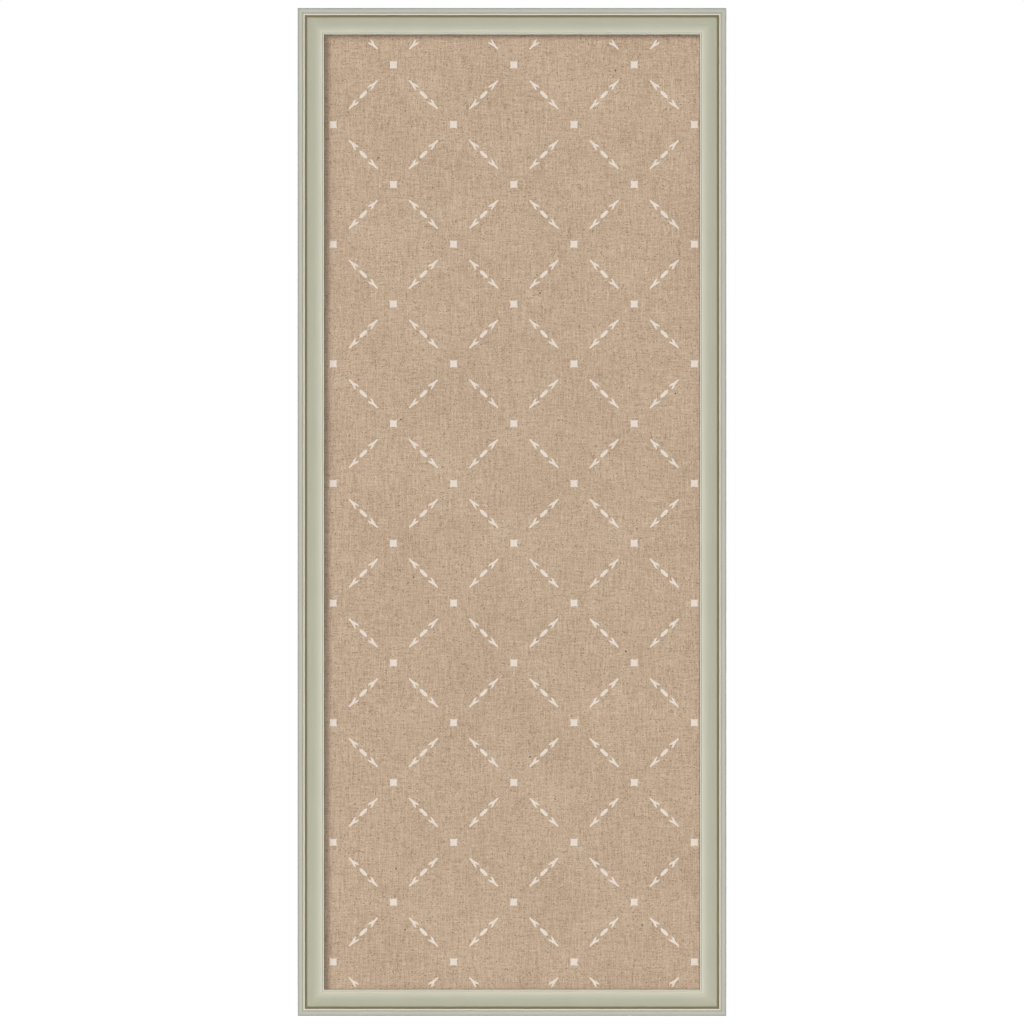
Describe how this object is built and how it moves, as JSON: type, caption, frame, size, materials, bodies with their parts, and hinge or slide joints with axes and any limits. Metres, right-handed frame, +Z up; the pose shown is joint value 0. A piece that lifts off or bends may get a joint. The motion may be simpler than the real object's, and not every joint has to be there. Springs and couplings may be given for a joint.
{
  "type": "pin board",
  "caption": "Tall linen-covered pin board in a painted, mitred picture moulding, with swinging D-ring hangers and wall bumpers on its back.",
  "frame": {"origin": "on the wall plane, behind the middle of the board", "axes": "+X right as the board is seen from the front, +Z up, +Y into the wall; the pinning face looks along -Y"},
  "size_m": [0.4512, 0.0298, 1.0608],
  "materials": {
    "painted_wood": "satin",
    "linen": "matte",
    "cork": "matte",
    "hardboard": "satin",
    "nail_steel": "satin",
    "zinc_plate": "satin",
    "bumper_rubber": "matte"
  },
  "bodies": {
    "board": {"top_rail": "painted_wood", "right_rail": "painted_wood", "bottom_rail": "painted_wood", "left_rail": "painted_wood", "v_nail_top_left_outer": "nail_steel", "v_nail_top_left_inner": "nail_steel", "v_nail_top_right_outer": "nail_steel", "v_nail_top_right_inner": "nail_steel", "v_nail_bottom_right_outer": "nail_steel", "v_nail_bottom_right_inner": "nail_steel", "v_nail_bottom_left_outer": "nail_steel", "v_nail_bottom_left_inner": "nail_steel", "framers_point_top_1": "zinc_plate", "framers_point_top_2": "zinc_plate", "framers_point_bottom_1": "zinc_plate", "framers_point_bottom_2": "zinc_plate", "framers_point_left_1": "zinc_plate", "framers_point_left_2": "zinc_plate", "framers_point_left_3": "zinc_plate", "framers_point_left_4": "zinc_plate", "framers_point_left_5": "zinc_plate", "framers_point_left_6": "zinc_plate", "framers_point_right_1": "zinc_plate", "framers_point_right_2": "zinc_plate", "framers_point_right_3": "zinc_plate", "framers_point_right_4": "zinc_plate", "framers_point_right_5": "zinc_plate", "framers_point_right_6": "zinc_plate", "linen_cover": "linen", "cork_core": "cork", "hardboard_back": "hardboard", "hanger_strap_left": "zinc_plate", "hanger_strap_right": "zinc_plate", "hanger_screw_left_upper": "zinc_plate", "hanger_screw_left_lower": "zinc_plate", "hanger_screw_right_upper": "zinc_plate", "hanger_screw_right_lower": "zinc_plate", "wall_bumper_left": "bumper_rubber", "wall_bumper_right": "bumper_rubber"},
    "ring_left": {"hanger_ring_left": "zinc_plate"},
    "ring_right": {"hanger_ring_right": "zinc_plate"}
  },
  "joints": [
    {"name": "ring_left_swing", "type": "hinge", "parent": "board", "child": "ring_left", "pos_m": [-0.2152, -0.00245, 0.3304], "axis": [-1, 0, 0], "range_deg": [0, 180]},
    {"name": "ring_right_swing", "type": "hinge", "parent": "board", "child": "ring_right", "pos_m": [0.2152, -0.00245, 0.3304], "axis": [-1, 0, 0], "range_deg": [0, 180]}
  ]
}
